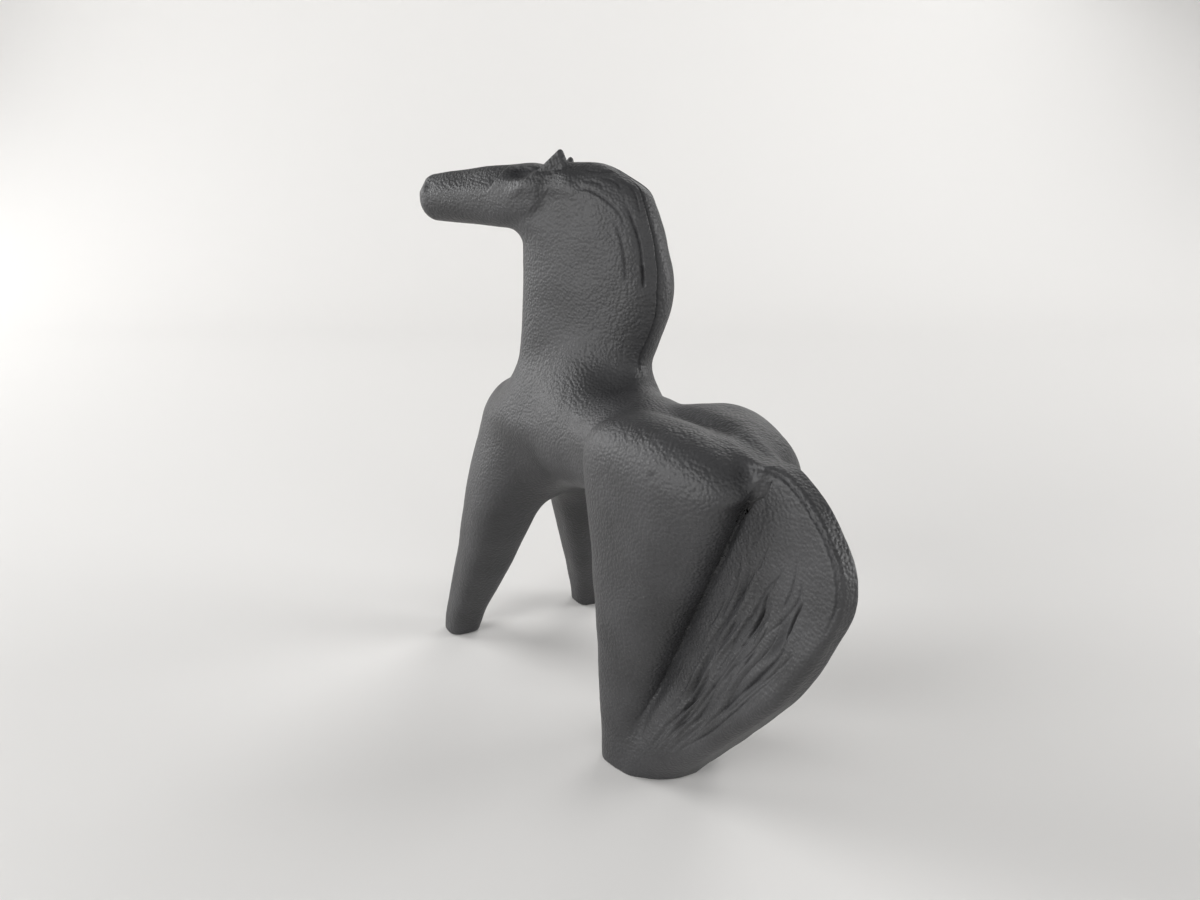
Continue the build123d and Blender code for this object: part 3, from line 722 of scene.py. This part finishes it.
def trunk_axis(t):
    """Along the middle of the trunk's sections."""
    height = at(trunk_table, t)[0]
    middle = np.stack([t, 0 * t, height], 1)
    return middle, still((1, 0, 0), t), still((0, 1, 0), t), still((0, 0, 1), t), 0 * t, 1


def rump_axis(side):
    """The trunk's axis, a little to one side."""
    def axis(t):
        middle, ahead, long, wide, spread, size = trunk_axis(t)
        return middle + np.array([0, side * RUMP_ASIDE, 0]), ahead, long, wide, spread, size
    return axis


def foreleg_axis(side):
    """Up the middle of a foreleg's sections."""
    def axis(t):
        fx, fy, a, b, _ = at(foreleg_table, t)
        middle = np.stack([fx, side * fy, t], 1)
        spread = np.maximum(a - b, 0)
        return middle, still((0, 0, 1), t), still((1, 0, 0), t), still((0, 1, 0), t), spread, 1
    return axis


def hind_axis(side):
    """Up a hind leg, a little ahead of its sections' middle, because the groove cuts them off behind."""
    def axis(t):
        hx, hy, a, b, _, turn = at(hind_table, t)
        c, s = np.cos(np.radians(turn)), np.sin(np.radians(turn))
        middle = np.stack([hx + HIND_AHEAD * c, side * (hy + HIND_AHEAD * s), t], 1)
        long, wide = np.stack([c, side * s, 0 * t], 1), np.stack([-side * s, c, 0 * t], 1)
        return middle, still((0, 0, 1), t), long, wide, np.maximum(a - b - HIND_AHEAD, 0), 1
    return axis


def neck_axis(t):
    """Up the middle of the neck's sections."""
    mid, a, b, _ = at(neck_table, t)
    return on_neck(mid, 0 * t, t), still((0, 0, 1), t), still(GAZE, t), still(ACROSS, t), a - b, 1


def mane_axis(t):
    """Up the mane, midway between its joint and the crest."""
    mid, a, _, _ = at(neck_table, t)
    front, rear = MANE_JOINT_SLOPE * (t - MANE_JOINT_AT[1]) + MANE_JOINT_AT[0], mid - a
    spread = np.maximum((front - rear) / 2 - MANE_NARROWER, 0)
    middle = on_neck((front + rear) / 2, 0 * t, t)
    return middle, still((0, 0, 1), t), still(GAZE, t), still(ACROSS, t), spread, 1


def head_axis(t):
    """Along the gaze through the middle of the head's sections."""
    height = at(head_table, t)[0]
    return on_neck(t, 0 * t, height), still(GAZE, t), still((0, 0, 1), t), still(ACROSS, t), 0 * t, 1


def ear_axis(side):
    """Up the middle of an ear's leaf, leaning back and in."""
    def axis(t):
        foot, root = EAR_FOOT[side]
        rise = t - root
        middle = on_neck(foot - EAR_BEHIND - EAR_BACK * rise, side * (EAR_ASIDE - EAR_LEAN * rise), t)
        spread = np.maximum(EAR_SPREAD - EAR_NARROWS * rise, 0)
        return middle, still((0, 0, 1), t), still(GAZE, t), still(ACROSS, t), spread, 1
    return axis


def tail_axis(t):
    """Down the tail, from nought at its root to one at its foot, midway between front and rear edge."""
    back = np.stack([np.interp(t, np.linspace(0, 1, len(tail_back)), tail_back[:, k]) for k in (0, 1)], 1)
    front = np.array(TAIL_FRONT[0]) * (1 - t)[:, None] + np.array(TAIL_FRONT[1]) * t[:, None]
    across = back - front
    width = np.linalg.norm(across, axis=1, keepdims=True)
    across /= width
    mid = (back + front) / 2
    zero = np.zeros(len(t))
    middle = np.stack([mid[:, 0], zero, mid[:, 1]], 1)
    long = np.stack([across[:, 0], zero, across[:, 1]], 1)
    ahead = np.stack([-across[:, 1], zero, across[:, 0]], 1)
    return middle, ahead, long, still((0, 1, 0), t), width[:, 0] / 2 - TAIL_HALF, TAIL_LONG


def add(nodes, kind, **values):
    """A new shader node, with values set on its inputs; their names are written with _ for a space."""
    node = nodes.new("ShaderNode" + kind)
    for socket, value in values.items():
        node.inputs[socket.replace("_", " ")].default_value = value
    return node


def material_of(name):
    """A new material, and its tree of nodes and its shader."""
    material = bpy.data.materials.new(name)
    material.use_nodes = True
    return material, material.node_tree, material.node_tree.nodes["Principled BSDF"]


def greys(nodes, *stops):
    """A ramp of colours between two stops, each a place and a colour."""
    tone = nodes.new("ShaderNodeValToRGB")
    for element, (place, colour) in zip(tone.color_ramp.elements, stops):
        element.position = place
        element.color = (*colour, 1)
    return tone


def coated_iron():
    """Matt black coating on cast iron: a little lighter where rubbed, finely grained, rougher in the cuts,
    and
    with painted shade there: the deeper the cut, the weaker its reflection.
    """
    material, tree, shader = material_of("black_iron")
    nodes, links = tree.nodes, tree.links
    coordinates = nodes.new("ShaderNodeTexCoord")
    blotch = add(nodes, "TexNoise", Scale=90, Detail=4)
    grain = nodes.new("ShaderNodeTexVoronoi")
    grain.feature = "SMOOTH_F1"
    grain.inputs["Scale"].default_value = 1900
    grain.inputs["Smoothness"].default_value = 0.6
    # How deep a place lies in a cut: it makes the coating rougher there and weakens its reflection, a
    # painted shade
    hollow = nodes.new("ShaderNodeAttribute")
    hollow.attribute_name = "hollow"
    painted_cut_shade = add(nodes, "MapRange", To_Min=0.5, To_Max=0.1)
    rougher_in_cuts = nodes.new("ShaderNodeMath")
    rougher_in_cuts.operation = "MULTIPLY_ADD"
    rougher_in_cuts.inputs[1].default_value = 0.25
    tone = greys(nodes, (0.3, (0.02, 0.02, 0.021)), (0.72, (0.036, 0.036, 0.038)))
    gloss = add(nodes, "MapRange", To_Min=0.44, To_Max=0.6)
    bump = add(nodes, "Bump", Strength=1.0, Distance=0.00013)
    bump.invert = True
    links.new(coordinates.outputs["Object"], blotch.inputs["Vector"])
    links.new(coordinates.outputs["Object"], grain.inputs["Vector"])
    links.new(blotch.outputs["Fac"], tone.inputs["Fac"])
    links.new(tone.outputs["Color"], shader.inputs["Base Color"])
    links.new(blotch.outputs["Fac"], gloss.inputs["Value"])
    links.new(hollow.outputs["Fac"], rougher_in_cuts.inputs[0])
    links.new(gloss.outputs["Result"], rougher_in_cuts.inputs[2])
    links.new(rougher_in_cuts.outputs["Value"], shader.inputs["Roughness"])
    # Painted shade in the cuts: the reflection falls from 0.5 to 0.1 as a cut deepens
    links.new(hollow.outputs["Fac"], painted_cut_shade.inputs["Value"])
    links.new(painted_cut_shade.outputs["Result"], shader.inputs["Specular IOR Level"])
    links.new(grain.outputs["Distance"], bump.inputs["Height"])
    links.new(bump.outputs["Normal"], shader.inputs["Normal"])
    return material


def pin_steel():
    """Drawn steel wire for the hidden pins."""
    material, tree, shader = material_of("pin_steel")
    coordinates = tree.nodes.new("ShaderNodeTexCoord")
    streak = add(tree.nodes, "TexNoise", Scale=800)
    tone = greys(tree.nodes, (0, (0.3, 0.3, 0.3)), (1, (0.5, 0.5, 0.5)))
    tree.links.new(coordinates.outputs["Object"], streak.inputs["Vector"])
    tree.links.new(streak.outputs["Fac"], tone.inputs["Fac"])
    tree.links.new(tone.outputs["Color"], shader.inputs["Base Color"])
    shader.inputs["Metallic"].default_value = 1
    shader.inputs["Roughness"].default_value = 0.35
    return material


black_iron = coated_iron()
steel = pin_steel()
for pin in ("neck_dowel", "head_dowel", "mane_pins", "foreleg_dowels", "hind_dowels", "tail_cross_pins"):
    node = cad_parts[pin]
    node.data.materials.clear()
    node.data.materials.append(steel)


def beyond(x, y, z, square, place):
    """How far a place lies beyond a joint's plane."""
    u, _ = neck_place(x, y)
    return square[0] * (u - place[0]) + square[1] * (z - place[1])


def head_side(x, y, z):
    """How far a place lies on the head's side of its joint."""
    return beyond(x, y, z, HEAD_JOINT, HEAD_JOINT_AT)


def mane_side(x, y, z):
    """How far a place lies on the mane's side of its joint."""
    return beyond(x, y, z, MANE_JOINT, MANE_JOINT_AT)


def trunk_bound(x, y, z):
    """Round the trunk."""
    return trunk(x, y, z) - REACH


def rump_bound(side):
    """Round one half of the trunk."""
    return lambda x, y, z: np.maximum(trunk(x, y, z) - REACH, -side * y - PAST_MIDDLE)


def neck_root_bound(x, y, z):
    """Round the neck."""
    return neck(x, y, z) - REACH


def neck_bound(x, y, z):
    """Round the neck, up to the joints of head and mane."""
    d = np.maximum(neck(x, y, z) - REACH, head_side(x, y, z) - OVERLAP)
    return np.maximum(d, mane_side(x, y, z) - OVERLAP)


def mane_bound(x, y, z):
    """Round the neck, behind the mane's joint and up to the head's."""
    d = np.maximum(neck(x, y, z) - REACH, -mane_side(x, y, z))
    return np.maximum(d, head_side(x, y, z) - OVERLAP)


def head_bound(x, y, z):
    """Round the head, in front of its joint."""
    return np.maximum(head(x, y, z) - REACH, -head_side(x, y, z))


def ear_bound(side):
    """Round an ear."""
    return lambda x, y, z: ear(x, y, z, side) - EAR_REACH


def foreleg_bound(side):
    """Round a foreleg."""
    return lambda x, y, z: foreleg(x, side * y, z) - REACH


def hind_bound(side):
    """Round a hind leg on its own side of the middle plane, and close to it along the groove."""
    def bound(x, y, z):
        clear = np.maximum(ramp(-groove(x, side * y, z), *CLEAR_AHEAD), ramp(z, *CLEAR_HEIGHTS))
        reach = CLOSE_REACH + (REACH - CLOSE_REACH) * clear
        return np.maximum(hind_leg(x, side * y, z) - reach, -side * y - PAST_MIDDLE)
    return bound


def tail_bound(x, y, z):
    """The tail behind the groove, and its tongue between the legs, with more room at the root."""
    side, root = np.abs(y), ramp(z, *ROOT_ROOM)
    tongue = np.minimum(side - TONGUE_HALF - ROOT_WIDER * root, -BEFORE_GROOVE - groove(x, side, z))
    return np.maximum(tail(x, y, z) - CLOSE_REACH - ROOT_REACH * root, tongue)


shoulders = [limb(foreleg_axis(side), FORELEG_SEAM, SHOULDER, 160, foreleg_bound(side), end=8)
             for side in (1, -1)]
casting("torso", "torso", limb(trunk_axis, RUMP_SEAM, CHEST, 210, trunk_bound, end=10), *shoulders,
        limb(neck_axis, NECK_ROOT, NECK_SEAM, 220, neck_root_bound))
for side, word in ((1, "left"), (-1, "right")):
    casting(word + "_foreleg", word + "_foreleg",
            limb(foreleg_axis(side), FLOOR_RING, FORELEG_SEAM, 160, foreleg_bound(side)))
    casting(word + "_hind_leg", word + "_hind_leg",
            limb(hind_axis(side), FLOOR_RING, HAUNCH, 230, hind_bound(side), end=11),
            limb(rump_axis(side), RUMP, RUMP_SEAM, 210, rump_bound(side), start=8),
            form=lambda x, y, z: hind_leg(x, side * y, z))
    casting(word + "_ear", word + "_ear",
            limb(ear_axis(side), EAR_START, EAR_END, 72, ear_bound(side), end=2),
            form=lambda x, y, z: ear(x, y, z, side))
casting("neck", "neck", limb(neck_axis, NECK_SEAM, CROWN, 240, neck_bound, end=10))
casting("mane", "mane", limb(mane_axis, NECK_SEAM, CROWN, 260, mane_bound, end=9))
casting("head", "head", limb(head_axis, HEAD_BACK, NOSE, 150, head_bound, start=9, end=5))
casting("tail", "tail", limb(tail_axis, 0.0, 1.0, 370, tail_bound, start=4, gather=0.45, lean=1.0),
        form=tail)

# Studio: a pale sweep that rises behind the horse, and soft lamps, given by their angle round from the
# camera, their angle above the floor, and their power
FLOOR_NEAR, FLOOR_FLAT, SWEEP_ROUND, WALL_TOP, FLOOR_HALF = -900, 500, 400, 1600, 2500
LAMP_SIZE, LAMP_ABOVE = 0.6, 0.05
LAMPS = [("left", -108, 20, 7.5), ("front", -50, 14, 7.5), ("fill", 20, 14, 2.5), ("right", 90, 14, 7),
         ("behind", 155, 35, 2.5), ("top", 0, 85, 1.0)]


def sweep():
    """A floor carried into a wall: flat, then a quarter round, then upright; straight to both sides."""
    quarter = np.radians(np.linspace(0, 90, 40))
    wall = FLOOR_FLAT + SWEEP_ROUND
    run = np.concatenate([[FLOOR_NEAR], FLOOR_FLAT + SWEEP_ROUND * np.sin(quarter), [wall]])
    rise = np.concatenate([[0], SWEEP_ROUND - SWEEP_ROUND * np.cos(quarter), [WALL_TOP]])
    rows = run[:, None, None] * AWAY + rise[:, None, None] * UP
    points = (rows + np.array([-FLOOR_HALF, FLOOR_HALF])[None, :, None] * RIGHT).reshape(-1, 3) * MILLIMETRE
    i = np.arange(len(run) - 1)[:, None] * 2
    mesh = bpy.data.meshes.new("floor")
    mesh.from_pydata(points.tolist(), [], (i + np.array([[0, 2, 3, 1]])).tolist())
    mesh.polygons.foreach_set("use_smooth", np.ones(len(i), bool))
    floor = bpy.data.objects.new("floor", mesh)
    bpy.context.scene.collection.objects.link(floor)
    material, _, shader = material_of("pale_paper")
    shader.inputs["Base Color"].default_value = (0.74, 0.73, 0.715, 1)
    shader.inputs["Roughness"].default_value = 0.9
    mesh.materials.append(material)


def placed(right, up, back, place):
    """The matrix of a lamp or camera, from its own three directions and its place."""
    matrix = np.eye(4)
    matrix[:3, :3] = np.stack([right, up, back], 1)
    matrix[:3, 3] = place
    return Matrix(matrix.tolist())


def lamp(name, turn, rise, power):
    """A square soft light a metre away that faces the horse."""
    turn, rise = np.radians(turn), np.radians(rise)
    back = (np.sin(turn) * RIGHT - np.cos(turn) * AWAY) * np.cos(rise) + UP * np.sin(rise)
    side = np.cross(UP, back)
    side /= np.linalg.norm(side)
    light = bpy.data.lights.new(name, "AREA")
    light.size = LAMP_SIZE
    light.energy = power
    thing = bpy.data.objects.new(name, light)
    thing.matrix_world = placed(side, np.cross(back, side), back, back + UP * LAMP_ABOVE)
    bpy.context.scene.collection.objects.link(thing)


def sky():
    """A dim even sky for the horse, which the camera sees as white."""
    world = bpy.data.worlds.new("sky")
    world.use_nodes = True
    nodes, links = world.node_tree.nodes, world.node_tree.links
    path = nodes.new("ShaderNodeLightPath")
    level = add(nodes, "MapRange", To_Min=0.05, To_Max=0.8)
    links.new(path.outputs["Is Camera Ray"], level.inputs["Value"])
    links.new(level.outputs["Result"], nodes["Background"].inputs["Strength"])
    nodes["Background"].inputs["Color"].default_value = (0.99, 0.99, 1, 1)
    return world


sweep()
for row in LAMPS:
    lamp(*row)
scene = bpy.context.scene
scene.world = sky()
scene.view_settings.view_transform = "Standard"

# Camera, behind the horse on its left and a little above
forward = AWAY * CAMERA_LEVEL - UP * CAMERA_DOWN
camera = bpy.data.objects.new("camera", bpy.data.cameras.new("camera"))
camera.data.lens = LENS
camera.data.sensor_width = SENSOR
camera.data.clip_start = CLIP_START
camera.matrix_world = placed(RIGHT, np.cross(RIGHT, forward), -forward, (CAMERA_AT + STAND) * MILLIMETRE)
scene.collection.objects.link(camera)
scene.camera = camera
